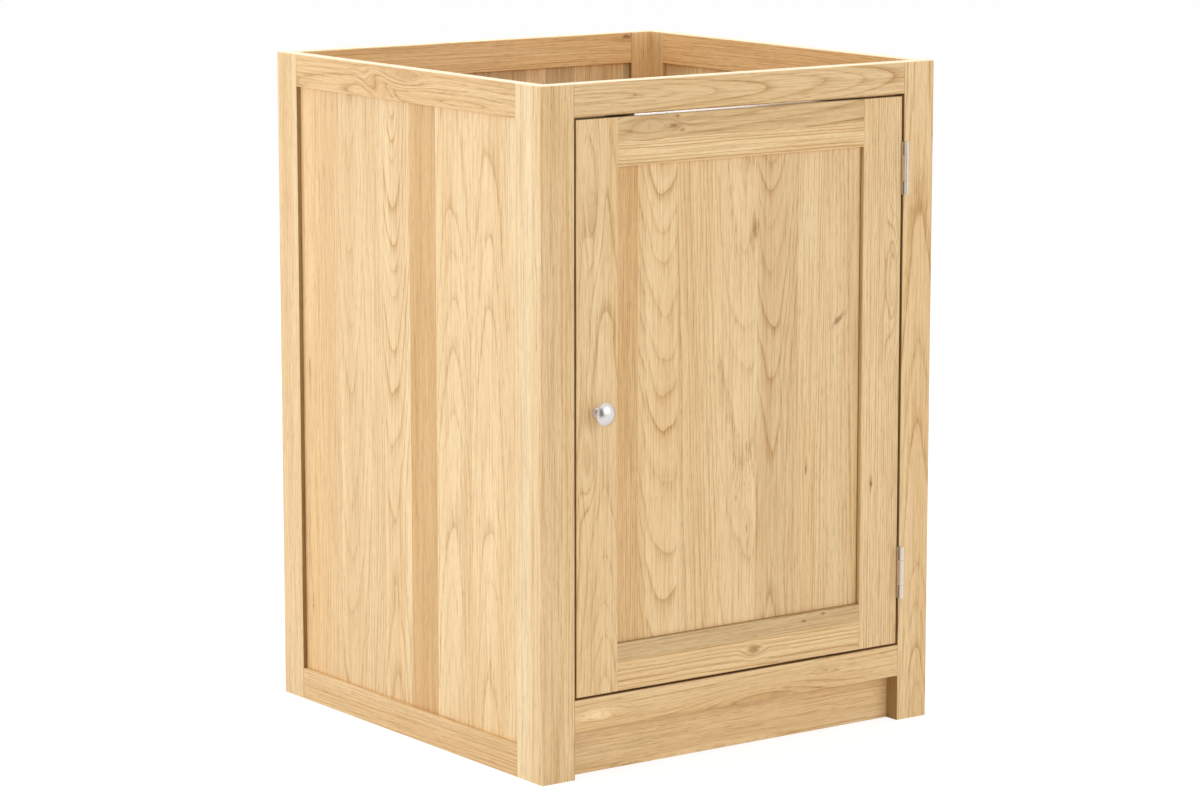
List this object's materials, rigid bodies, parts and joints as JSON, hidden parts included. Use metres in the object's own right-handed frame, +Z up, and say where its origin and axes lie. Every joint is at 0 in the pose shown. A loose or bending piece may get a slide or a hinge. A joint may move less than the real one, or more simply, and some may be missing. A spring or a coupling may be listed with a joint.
{
  "type": "sink base cabinet",
  "caption": "Free-standing oak base cabinet for a kitchen sink, open at the top, with frame-and-panel sides, an inset panelled door on butt hinges and a round metal knob.",
  "frame": {"origin": "on the floor, in the middle of the footprint, knob included", "axes": "+Z up, +Y from the door towards the back, +X to the right as seen from the front"},
  "size_m": [0.628, 0.642, 0.88],
  "materials": {
    "oak": "oiled oak, satin",
    "dowel_beech": "plain beech dowel",
    "steel": "satin nickel plate",
    "knob_metal": "satin chrome",
    "zinc": "bright zinc plate",
    "catch_plastic": "ivory moulded plastic",
    "magnet": "dark ferrite"
  },
  "bodies": {
    "cabinet": {"left_front_stile": "oak", "left_back_stile": "oak", "left_top_rail": "oak", "left_bottom_rail": "oak", "left_panel": "oak", "right_front_stile": "oak", "right_back_stile": "oak", "right_top_rail": "oak", "right_bottom_rail": "oak", "right_panel": "oak", "back_left_stile": "oak", "back_right_stile": "oak", "back_top_rail": "oak", "back_bottom_rail": "oak", "back_panel": "oak", "face_left_stile": "oak", "face_right_stile": "oak", "face_top_rail": "oak", "face_bottom_rail": "oak", "plinth_board": "oak", "plinth_blocks": "oak", "floor_board": "oak", "floor_left_cleat": "oak", "floor_right_cleat": "oak", "floor_back_cleat": "oak", "face_dowels": "dowel_beech", "back_dowels": "dowel_beech", "floor_screws": "zinc", "cleat_screws": "zinc", "lower_hinge_frame_leaf": "steel", "upper_hinge_frame_leaf": "steel", "lower_hinge_pin": "steel", "upper_hinge_pin": "steel", "hinge_frame_screws": "steel", "catch_body": "catch_plastic", "catch_magnet": "magnet", "catch_screws": "zinc"},
    "door": {"door_knob_stile": "oak", "door_hinge_stile": "oak", "door_top_rail": "oak", "door_bottom_rail": "oak", "door_panel": "oak", "lower_hinge_door_leaf": "steel", "upper_hinge_door_leaf": "steel", "hinge_door_screws": "steel", "knob": "knob_metal", "knob_collar": "knob_metal", "knob_screw": "zinc", "strike_plate": "zinc", "strike_screw": "zinc"}
  },
  "joints": [
    {"name": "door_swing", "type": "hinge", "parent": "cabinet", "child": "door", "pos_m": [0.264, -0.301, 0.471], "axis": [0, 0, 1], "range_deg": [0, 175]}
  ]
}
